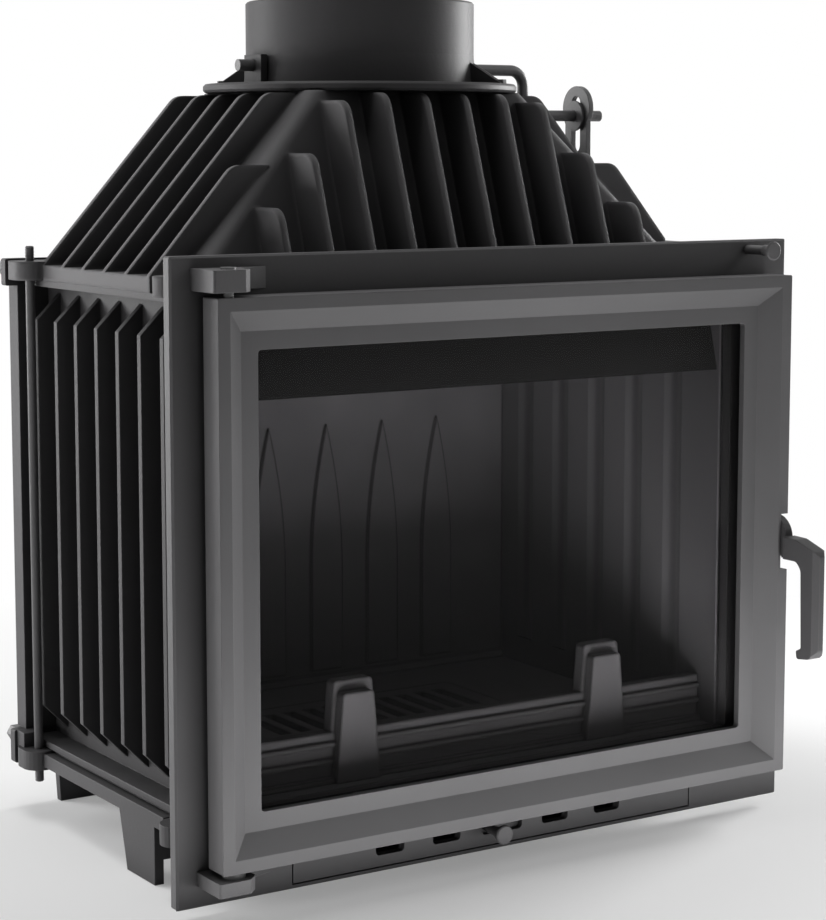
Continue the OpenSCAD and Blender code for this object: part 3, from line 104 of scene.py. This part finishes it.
class Shade:
    """A node tree, and the one way in which nodes are added to it."""

    def __init__(self, tree):
        self.tree = tree

    def feed(self, node, values):
        """Gives a node's sockets their values or links."""
        for key, value in values.items():
            socket = node.inputs[key]
            if isinstance(value, Value):
                self.tree.links.new(value.socket, socket)
            else:
                socket.default_value = value

    def node(self, kind, settings, values, output=0):
        """Adds one node: its settings first, then the values and links of its sockets."""
        node = self.tree.nodes.new(kind)
        for key, setting in settings.items():
            setattr(node, key, setting)
        self.feed(node, values)
        return Value(self, node.outputs[output])

    def seen(self):
        """1 for rays that come from the camera, a mirror or through glass."""
        camera_ray, mirror_ray, glass_ray = (
            self.node("ShaderNodeLightPath", {}, {}, ray)
            for ray in ("Is Camera Ray", "Is Glossy Ray", "Is Transmission Ray"))
        return (camera_ray + mirror_ray + glass_ray).within(0.0, 1.0)


# Sockets of the Mix node that hold its share, its two colours and its result
MIX_SHARE, MIX_FIRST, MIX_SECOND, MIX_RESULT = 0, 6, 7, 2
# Rays spent on what is near a point, and how far a direction turns on a full edge
NEAR_SAMPLES, FULL_EDGE = 6, 0.15


class Finish(Shade):
    """One procedural material: its main shader, its place on the piece, and what feeds them."""

    def __init__(self, name, **fixed):
        self.material = bpy.data.materials.new(name)
        self.material.use_nodes = True
        super().__init__(self.material.node_tree)
        self.shader = self.tree.nodes["Principled BSDF"]
        self.feed(self.shader, {key.replace("_", " "): value for key, value in fixed.items()})
        self.place = self.node("ShaderNodeTexCoord", {}, {}, "Object")

    def surface(self, shader):
        """Shows this shader in place of the main one."""
        self.feed(self.tree.nodes["Material Output"], {"Surface": shader})

    def along(self, axis):
        """The place along one axis, in metres."""
        return self.node("ShaderNodeSeparateXYZ", {}, {0: self.place}, axis)

    def noise(self, scale, detail, rough=0.5):
        return self.node("ShaderNodeTexNoise", {}, {
            "Vector": self.place, "Scale": scale, "Detail": detail, "Roughness": rough}, "Fac")

    def blend(self, share, first, second):
        """A colour between two colours."""
        return self.node("ShaderNodeMix", {"data_type": "RGBA"}, {
            MIX_SHARE: share, MIX_FIRST: first, MIX_SECOND: second}, MIX_RESULT)

    def bump(self, height, depth, base=None):
        """Relief of this depth, on the surface's direction or on the one given."""
        under = {"Normal": base} if base else {}
        return self.node("ShaderNodeBump", {}, {
            "Height": height, "Distance": depth, "Strength": 1.0, **under})

    def rounded(self, reach):
        """The surface's direction with edges and corners rounded, as in a casting."""
        return self.node("ShaderNodeBevel", {"samples": NEAR_SAMPLES}, {"Radius": reach})

    def edge(self, soft):
        """1 on edges and corners, 0 on open faces."""
        hard = self.node("ShaderNodeNewGeometry", {}, {}, "Normal")
        same_way = self.node("ShaderNodeVectorMath", {"operation": "DOT_PRODUCT"},
                             {0: soft, 1: hard}, "Value")
        return (1 - same_way).within(0.0, FULL_EDGE)

    def open_face(self, reach):
        """1 on open faces, less in inner corners, between fins and beside other pieces."""
        return self.node("ShaderNodeAmbientOcclusion", {"samples": NEAR_SAMPLES},
                         {"Distance": reach}, "AO")


WHITE, BLUE_LEAN = (1, 1, 1, 1), 1.4


def grey(shade, violet=0.0):
    """A neutral colour, or one that leans a little to violet."""
    return (shade * (1 + violet), shade, shade * (1 + BLUE_LEAN * violet), 1)


# ---- Finishes: heights, depths and reaches are in metres, shades and covers are shares
# Patterns: scale, detail and roughness
PAINT_CLOUDS, PAINT_SAND, PAINT_LUMPS = (7, 3), (1400, 3, 0.65), (260, 2)
STEEL_MARKS, STEEL_STAIN = (900, 4, 0.6), (60, 3)
IRON_CLOUDS, IRON_SAND = (11, 4, 0.55), (350, 3)
WEAVE_FUZZ, GLASS_FILM = (2500, 2, 0.6), (9, 3)
# The part of a pattern that is stretched to its whole range
CLOUD_SPAN, WIDE_SPAN, CORNER_SHADE_SPAN = (0.3, 0.7), (0.25, 0.75), (0.15, 0.85)
STAIN_SPAN, FILM_SPAN = (0.35, 0.7), (0.2, 0.8)
# The firebox: half its width, where paint takes over from bare iron, and where bare iron stops being
# darker at the bottom
FIREBOX_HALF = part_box("hearth_plate")[1][0]
BARE_HALF, PAINTED_HALF = FIREBOX_HALF + 0.002, FIREBOX_HALF + 0.003
DARKEST_BELOW, DARK_UNTIL = 0.1, 0.2
# How far painted and bare iron lean to violet
IRON_VIOLET = 0.02

# Stove paint: how far clouds swing its shade, and its shade on rubbed edges with a painted highlight
# and in painted corner shade
PAINT_SWING, PAINT_WEAR_AND_HIGHLIGHT, PAINT_DARKENED = 0.07, 1.9, 0.3
CLOUD_ROUGH, SAND_ROUGH, SAND_RELIEF = 0.08, 0.06, 0.45


def cast_paint(name, shade, grain, wear_and_highlight, rough, shine, radius, corners, bare=None):
    """Stove paint on cast iron: sand grain, faint clouds, rubbed edges with a painted highlight, and
    painted shade in corners.

    bare is the shade of the unpainted side towards the hearth, where a casting has one; it is darker
    towards the bottom."""
    paint = Finish(name, Metallic=0.0, Specular_IOR_Level=shine)
    clouds, sand = paint.noise(*PAINT_CLOUDS), paint.noise(*PAINT_SAND)
    lumps = paint.noise(*PAINT_LUMPS)
    tone = paint.blend(clouds.within(*CLOUD_SPAN), grey(shade * (1 - PAINT_SWING), IRON_VIOLET),
                       grey(shade * (1 + PAINT_SWING), IRON_VIOLET))
    soft = paint.rounded(radius)
    # Rubbed edges: worn paint, made lighter still by a painted highlight where rounded edges catch
    # the light
    tone = paint.blend(paint.edge(soft) * wear_and_highlight, tone, grey(shade * PAINT_WEAR_AND_HIGHLIGHT, IRON_VIOLET))
    # Painted shade: darker in inner corners, between fins and beside other pieces, where shade falls
    tone = paint.blend(paint.open_face(corners).within(*CORNER_SHADE_SPAN),
                       grey(shade * PAINT_DARKENED, IRON_VIOLET), tone)
    if bare:
        inner = paint.blend(paint.along("Z").within(DARKEST_BELOW, DARK_UNTIL),
                            grey(bare * PAINT_DARKENED, IRON_VIOLET), grey(bare, IRON_VIOLET))
        tone = paint.blend(abs(paint.along("X")).within(BARE_HALF, PAINTED_HALF), inner, tone)
    paint.feed(paint.shader, {
        "Base Color": tone,
        "Roughness": (clouds.within(*WIDE_SPAN) * CLOUD_ROUGH + sand * SAND_ROUGH
                      + (rough - (CLOUD_ROUGH + SAND_ROUGH) / 2)),
        "Normal": paint.bump(sand * SAND_RELIEF + lumps * (1 - SAND_RELIEF), grain, soft)})
    return paint.material


# Steel: its shade in and between stains, the depth of tool marks, and how far stains roughen it
STEEL_DARK, STEEL_LIGHT, MARK_DEPTH, STAIN_ROUGH = 0.8, 1.25, 0.00012, 0.2


def turned_steel(name, shade, rough):
    """Blackened steel with fine marks of the tool."""
    steel = Finish(name, Metallic=0.7, Specular_IOR_Level=0.5)
    marks, stain = steel.noise(*STEEL_MARKS), steel.noise(*STEEL_STAIN)
    steel.feed(steel.shader, {
        "Base Color": steel.blend(stain.within(*STAIN_SPAN), grey(shade * STEEL_DARK),
                                  grey(shade * STEEL_LIGHT)),
        "Roughness": stain * STAIN_ROUGH + (rough - STAIN_ROUGH / 2),
        "Normal": steel.bump(marks, MARK_DEPTH)})
    return steel.material


# Bare iron: how far clouds swing its shade, its shade towards the bottom and in painted shade on
# edges, and their covers
IRON_SWING, IRON_LOW_DARK, IRON_EDGE_SHADE = 0.15, 0.15, 0.2
LOW_DARK_COVER, LOW_DARK_EVEN, EDGE_SHADE_COVER = 0.8, 0.6, 0.85
IRON_RADIUS, IRON_GRAIN, IRON_SMOOTHEST, IRON_UNEVEN = 0.004, 0.00004, 0.68, 0.15


def firebox_iron(name, shade):
    """Bare iron inside the firebox: dull, darker towards the bottom, and with painted shade on edges
    and creases.
    """
    iron = Finish(name, Metallic=0.0, Specular_IOR_Level=0.2)
    clouds, sand = iron.noise(*IRON_CLOUDS), iron.noise(*IRON_SAND)
    # Darker towards the bottom, a little unevenly
    darkened = ((1 - iron.along("Z").within(DARKEST_BELOW, DARK_UNTIL))
            * (clouds * (1 - LOW_DARK_EVEN) + LOW_DARK_EVEN))
    soft = iron.rounded(IRON_RADIUS)
    tone = iron.blend(clouds.within(*CLOUD_SPAN), grey(shade * (1 - IRON_SWING), IRON_VIOLET),
                      grey(shade * (1 + IRON_SWING), IRON_VIOLET))
    tone = iron.blend(darkened * LOW_DARK_COVER, tone, grey(shade * IRON_LOW_DARK))
    # Painted shade along the edges and creases of the relief
    tone = iron.blend(iron.edge(soft) * EDGE_SHADE_COVER, tone, grey(shade * IRON_EDGE_SHADE))
    iron.feed(iron.shader, {
        "Base Color": tone,
        "Roughness": clouds * IRON_UNEVEN + IRON_SMOOTHEST,
        "Normal": iron.bump(sand, IRON_GRAIN, soft)})
    return iron.material


# Weave: its shade under and on the strands, how much each pattern shows, and its relief
WEAVE_DARK, WEAVE_LIGHT, OVER_TONE, FUZZ_TONE = 0.6, 1.3, 0.6, 0.3
WEAVE_DEPTH, OVER_RELIEF, WEAVE_SMOOTHEST, FUZZ_ROUGH = 0.0004, 0.7, 0.82, 0.1


def woven(name, shade, pitch):
    """Glass-fibre weave."""
    cloth = Finish(name, Specular_IOR_Level=0.2, Sheen_Weight=0.2)
    over = cloth.node("ShaderNodeTexWave", {"bands_direction": "DIAGONAL"},
                      {"Vector": cloth.place, "Scale": 1 / pitch, "Distortion": 1.5}, "Fac")
    fuzz = cloth.noise(*WEAVE_FUZZ)
    cloth.feed(cloth.shader, {
        "Base Color": cloth.blend(over * OVER_TONE + fuzz * FUZZ_TONE,
                                  grey(shade * WEAVE_DARK), grey(shade * WEAVE_LIGHT)),
        "Roughness": fuzz * FUZZ_ROUGH + WEAVE_SMOOTHEST,
        "Normal": cloth.bump(over * OVER_RELIEF + fuzz * (1 - OVER_RELIEF), WEAVE_DEPTH)})
    return cloth.material


# Glass: what it lets through, how strongly it mirrors at a slant, and how far its film varies that
GLASS_CLEAR, GLASS_BEND, FILM_EFFECT = (0.95, 0.945, 0.95, 1), 1.12, 0.06


def clear_glass(name):
    """Heat-proof glass: lets light straight through, and mirrors a little through a faint film."""
    pane = Finish(name, Roughness=0.03, Base_Color=WHITE, Specular_IOR_Level=0.5)
    through = pane.node("ShaderNodeBsdfTransparent", {}, {"Color": GLASS_CLEAR})
    mirror = pane.node("ShaderNodeBsdfGlossy", {}, {"Roughness": 0.02})
    facing = pane.node("ShaderNodeFresnel", {}, {"IOR": GLASS_BEND})
    film = pane.noise(*GLASS_FILM).within(*FILM_SPAN) * FILM_EFFECT + (1 - FILM_EFFECT)
    pane.surface(pane.node("ShaderNodeMixShader", {}, {0: facing * film, 1: through, 2: mirror}))
    return pane.material


# Painted pieces: radius is how round their edges are, and corners how far painted shade reaches from
# one
# Painted shade: the casing's paint is a darker copy of the front's, standing in for the deep shade
# between its fins
shaded_casing = dict(shade=0.065, grain=0.0002, wear_and_highlight=0.7, rough=0.45, shine=0.06,
              radius=0.0014, corners=0.04)
painted = {
    "front_iron": dict(shade=0.095, grain=0.00014, wear_and_highlight=0.35, rough=0.5, shine=0.16,
                       radius=0.0009, corners=0.03),
    "casing_iron": shaded_casing,
    "side_iron": dict(shaded_casing, bare=0.18),
    "hood_iron": dict(shade=0.1, grain=0.0002, wear_and_highlight=0.4, rough=0.5, shine=0.06,
                      radius=0.005, corners=0.04),
    "painted_steel": dict(shade=0.07, grain=0.00008, wear_and_highlight=0.4, rough=0.45, shine=0.35,
                          radius=0.0006, corners=0.004),
}
finishes = {
    **{name: cast_paint(name, **paint) for name, paint in painted.items()},
    "lining_iron": firebox_iron("lining_iron", shade=0.2),
    "guard_iron": firebox_iron("guard_iron", shade=0.13),
    # Painted shade: a far darker copy of the firebox iron for the wash plate, its screws and the
    # baffle, which lie in shade
    "darkened": firebox_iron("darkened", shade=0.014),
    "pan_steel": turned_steel("pan_steel", shade=0.05, rough=0.5),
    "steel": turned_steel("steel", shade=0.12, rough=0.42),
    "glass": clear_glass("glass"),
    "rope": woven("rope", shade=0.06, pitch=0.004),
    "tape": woven("tape", shade=0.1, pitch=0.0025),
}
# Every node takes its slot's finish, but for these
finish_of = {
    **slots,
    "hood": "hood_iron", "side_panel_left": "side_iron", "side_panel_right": "side_iron",
    "door_handle": "casing_iron", "log_guard": "guard_iron",
    "air_wash_plate": "darkened", "wash_plate_screws": "darkened", "baffle": "darkened",
}
for name, piece in nodes.items():
    piece.data.materials.clear()
    piece.data.materials.append(finishes[finish_of[name]])


# ---- Rope seal, glass tape and threaded rods, in the places of their plain solids
def skin(name, rings, body, node, closed=True):
    """A mesh stretched over rings of points, on a body, in place of a node."""
    count, points = len(rings[0]), [point for ring in rings for point in ring]
    spans = [(n * count, (n + 1) % len(rings) * count) for n in range(len(rings))]
    if not closed:
        spans.pop()
    faces = [(here + k, here + (k + 1) % count, there + (k + 1) % count, there + k)
             for here, there in spans for k in range(count)]
    if not closed:
        faces += [tuple(reversed(range(count))), tuple(range(len(points) - count, len(points)))]
    mesh = bpy.data.meshes.new(name)
    mesh.from_pydata(points, [], faces)
    for face in mesh.polygons:
        face.use_smooth = True
    piece = bpy.data.objects.new(name, mesh)
    scene.collection.objects.link(piece)
    mesh.materials.append(finishes[slots[node]])
    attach(piece, body)
    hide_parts(node)


def round_door(low, high, inset, corner, step):
    """Points along a rounded rectangle, inset from a node's box.

    Each comes with its outward direction and its share of the whole way."""
    right, bottom, top = high[0] - inset, low[2] + inset, high[2] - inset
    wide, tall, arc = 2 * (right - corner), top - bottom - 2 * corner, math.pi / 2 * corner
    sides = ((wide, right - corner, bottom + corner), (tall, right - corner, top - corner),
             (wide, corner - right, top - corner), (tall, corner - right, bottom + corner))
    length = 2 * (wide + tall) + 4 * arc
    count = round(length / step)
    for n in range(count):
        way = ahead = n * length / count
        for side, (run, x, z) in enumerate(sides):
            if ahead < run + arc:
                back, turned = max(0.0, run - ahead), max(0.0, ahead - run) / corner
                facing = (side - 1) * math.pi / 2 + turned
                out = (math.cos(facing), math.sin(facing))
                yield ((x + corner * out[0] + back * out[1], z + corner * out[1] - back * out[0]),
                       out, way / length)
                break
            ahead -= run + arc


def flat_round(turn, half_wide, half_deep, power):
    """A point of a section between an ellipse and a rectangle."""
    return tuple(math.copysign(abs(part) ** (2 / power), part) * half for part, half in
                 ((math.cos(turn), half_wide), (math.sin(turn), half_deep)))


def around(place, out, middle, section):
    """A ring: a section's points set at a place on the door, facing out."""
    return [(place[0] + out[0] * across, middle + deep, place[1] + out[1] * across)
            for across, deep in section]


# Rope: its braid, its run inside the door's rebate, and its section
ROPE_STRANDS, ROPE_TURNS, ROPE_SIDES, ROPE_LIFT = 4, 74, 20, 0.00042
ROPE_INSET, ROPE_CORNER, ROPE_STEP = 0.0045, 0.0042, 0.0014
ROPE_HALF_WIDE, ROPE_POWER = 0.00445, 2.5
STRAND_NARROW, STRAND_DIP = 1.9, 0.25


def braid(turn, share):
    """Height of the braid over the rope's core.

    It has two sets of strands, each over and under the other."""
    first = ROPE_STRANDS * turn / math.tau + ROPE_TURNS * share
    second = ROPE_STRANDS * turn / math.tau - ROPE_TURNS * share
    heights = []
    for own, other, over in ((first, second, 1), (second, first, -1)):
        crown = max(0.0, 1 - (STRAND_NARROW * (own - round(own))) ** 2) ** 0.5
        weave = over * math.cos(math.pi * (other + round(own)))
        heights.append(crown * (1 - STRAND_DIP + STRAND_DIP * weave))
    return ROPE_LIFT * max(heights)


low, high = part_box("door_rope")
rope_mid, rope_half_deep = (low[1] + high[1]) / 2, (high[1] - low[1]) / 2
rings = []
for place, out, share in round_door(low, high, ROPE_INSET, ROPE_CORNER, ROPE_STEP):
    section = []
    for k in range(ROPE_SIDES):
        turn = k * math.tau / ROPE_SIDES
        lift = braid(turn, share) - ROPE_LIFT
        section.append(flat_round(turn, ROPE_HALF_WIDE + lift, rope_half_deep + lift,
                                  ROPE_POWER))
    rings.append(around(place, out, rope_mid, section))
skin("rope_seal", rings, "door", "door_rope")

# Tape: its run round the glass, its section, and the nicks that clear the clip screws
TAPE_HALF_WIDE, TAPE_CORNER, TAPE_STEP, TAPE_SIDES, TAPE_POWER = 0.0035, 0.002, 0.003, 12, 4
SCREW_HEAD, NICK_DEEP, NICK_HALF, LEVEL_RUN = 0.0045, 0.0038, 0.0065, 0.9
low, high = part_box("glass_tape")
tape_mid, tape_half_deep = (low[1] + high[1]) / 2, (high[1] - low[1]) / 2
screw_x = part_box("clip_screws")[1][0] - SCREW_HEAD
rings = []
for place, out, _ in round_door(low, high, TAPE_HALF_WIDE, TAPE_CORNER, TAPE_STEP):
    nick = 0.0
    if abs(out[1]) > LEVEL_RUN:    # the screws are beside the upper and lower runs
        nick = NICK_DEEP * max(0.0, 1 - ((abs(place[0]) - screw_x) / NICK_HALF) ** 4)
    section = []
    for k in range(TAPE_SIDES):
        across, deep = flat_round((k + 0.5) * math.tau / TAPE_SIDES, TAPE_HALF_WIDE - nick / 2,
                                  tape_half_deep, TAPE_POWER)
        section.append((across - nick / 2, deep))
    rings.append(around(place, out, tape_mid, section))
skin("woven_tape", rings, "door", "glass_tape")

ROD_RADIUS, ROD_SIDES, ROD_CHAMFER = 0.004, 20, 0.0008
THREAD_PITCH, THREAD_DEPTH, THREAD_LONG, THREAD_FADE, PITCH_STEPS = 0.00125, 0.0006, 0.022, 0.002, 6


def rod_rings(x, y, bottom, top):
    """Rings up a rod: chamfered ends, and a thread at each that fades into the plain middle."""
    steps = [n * THREAD_PITCH / PITCH_STEPS
             for n in range(int(THREAD_LONG / THREAD_PITCH * PITCH_STEPS))]
    for z in [bottom + step for step in steps] + [top - step for step in reversed(steps)]:
        from_end = min(z - bottom, top - z)
        chamfer = max(0.0, ROD_CHAMFER - from_end)
        depth = THREAD_DEPTH * min(1.0, (THREAD_LONG - from_end) / THREAD_FADE)
        ring = []
        for k in range(ROD_SIDES):
            turn = k * math.tau / ROD_SIDES
            groove = abs(2 * ((z / THREAD_PITCH - turn / math.tau) % 1) - 1)
            radius = ROD_RADIUS - chamfer - depth * groove
            ring.append((x + radius * math.cos(turn), y + radius * math.sin(turn), z))
        yield ring


low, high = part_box("tie_rods")
places = [(x, y) for x in (low[0] + ROD_RADIUS, high[0] - ROD_RADIUS)
          for y in (low[1] + ROD_RADIUS, high[1] - ROD_RADIUS)]
for n, (x, y) in enumerate(places, 1):
    rings = list(rod_rings(x, y, low[2], high[2]))
    skin("threaded_rod_%d" % n, rings, "insert", "tie_rods", closed=False)

# ---- Rounded edges on the loose castings and the link plate
EDGE_ROUND = {"log_guard": 0.0007, "grate": 0.001, "hearth_plate": 0.001, "baffle": 0.001,
              "yoke_plate": 0.0003}
EDGE_SEGMENTS, SHARP_ANGLE, FLAT_ANGLE, SAME_POINT = 2, 28, 0.8, 0.00002

for name, reach in EDGE_ROUND.items():
    piece = nodes[name]
    piece.modifiers.new("weld", "WELD").merge_threshold = SAME_POINT
    flat = piece.modifiers.new("flat", "DECIMATE")
    flat.decimate_type, flat.angle_limit = "DISSOLVE", math.radians(FLAT_ANGLE)
    piece.modifiers.new("net", "TRIANGULATE")
    round_off = piece.modifiers.new("round", "BEVEL")
    round_off.width, round_off.segments = reach, EDGE_SEGMENTS
    round_off.limit_method, round_off.angle_limit = "ANGLE", math.radians(SHARP_ANGLE)
    piece.modifiers.new("shade", "WEIGHTED_NORMAL")

# ---- Floor: pale, whiter away from the piece, where its shadow has faded
FLOOR_HALF, FLOOR_DROP, FLOOR_SHADE = 12.0, 0.0004, 0.82
NEAR_FLOOR, FAR_FLOOR, NEAR_WHITE = 0.6, 1.1, 0.25

floor_mesh = bpy.data.meshes.new("floor")
floor_mesh.from_pydata([(x * FLOOR_HALF, y * FLOOR_HALF, -FLOOR_DROP)
                        for x, y in ((-1, -1), (1, -1), (1, 1), (-1, 1))], [], [(0, 1, 2, 3)])
floor = bpy.data.objects.new("floor", floor_mesh)
scene.collection.objects.link(floor)
pale = Finish("floor", Base_Color=grey(FLOOR_SHADE), Roughness=0.9, Specular_IOR_Level=0.1)
away = pale.node("ShaderNodeVectorMath", {"operation": "LENGTH"}, {0: pale.place}, "Value")
fade = pale.seen() * (away.within(NEAR_FLOOR, FAR_FLOOR) * (1 - NEAR_WHITE) + NEAR_WHITE)
white = pale.node("ShaderNodeEmission", {}, {})
pale.surface(pale.node("ShaderNodeMixShader", {}, {
    0: fade, 1: Value(pale, pale.shader.outputs[0]), 2: white}))
floor_mesh.materials.append(pale.material)

# ---- World and lamps: lights from behind both sides, from above, and low in front
ROOM_LIGHT = 0.04
world = bpy.data.worlds.new("studio")
scene.world = world
world.use_nodes = True
room = Shade(world.node_tree)
room.feed(world.node_tree.nodes["Background"], {
    "Color": WHITE, "Strength": room.seen() * (1 - ROOM_LIGHT) + ROOM_LIGHT})

# Name: place, aim, width and height in metres, watts, and whether it shows in shiny surfaces
lamps = {
    "left_back": ((-1.5, 1.85, 0.75), (-0.25, 0, 0.4), (1.1, 1.6), 46, True),
    "right": ((2.3, 0.2, 0.7), (0, 0, 0.5), (0.9, 1.2), 85, True),
    "top": ((-0.55, 0.35, 2.3), (0, 0, 0.5), (1.2, 0.8), 19, True),
    "front_right": ((1.9, -1.2, 1.7), (0, 0, 0.5), (0.9, 0.9), 10, True),
    "floor_front": ((0.05, -0.35, 0.004), (0.05, -0.35, 1), (0.8, 0.25), 3.8, False),
    "left_low": ((-1.1, 0.35, 0.06), (-0.3, 0, 0.1), (1, 0.2), 9, False),
}
for name, (place, aim, (width, height), watts, shows) in lamps.items():
    data = bpy.data.lights.new(name, "AREA")
    data.shape, data.size, data.size_y, data.energy = "RECTANGLE", width, height, watts
    lamp = bpy.data.objects.new(name, data)
    lamp.location = place
    lamp.rotation_euler = (Vector(aim) - Vector(place)).to_track_quat("-Z", "Y").to_euler()
    lamp.visible_camera, lamp.visible_glossy = False, shows
    scene.collection.objects.link(lamp)

scene.view_settings.view_transform = "Standard"
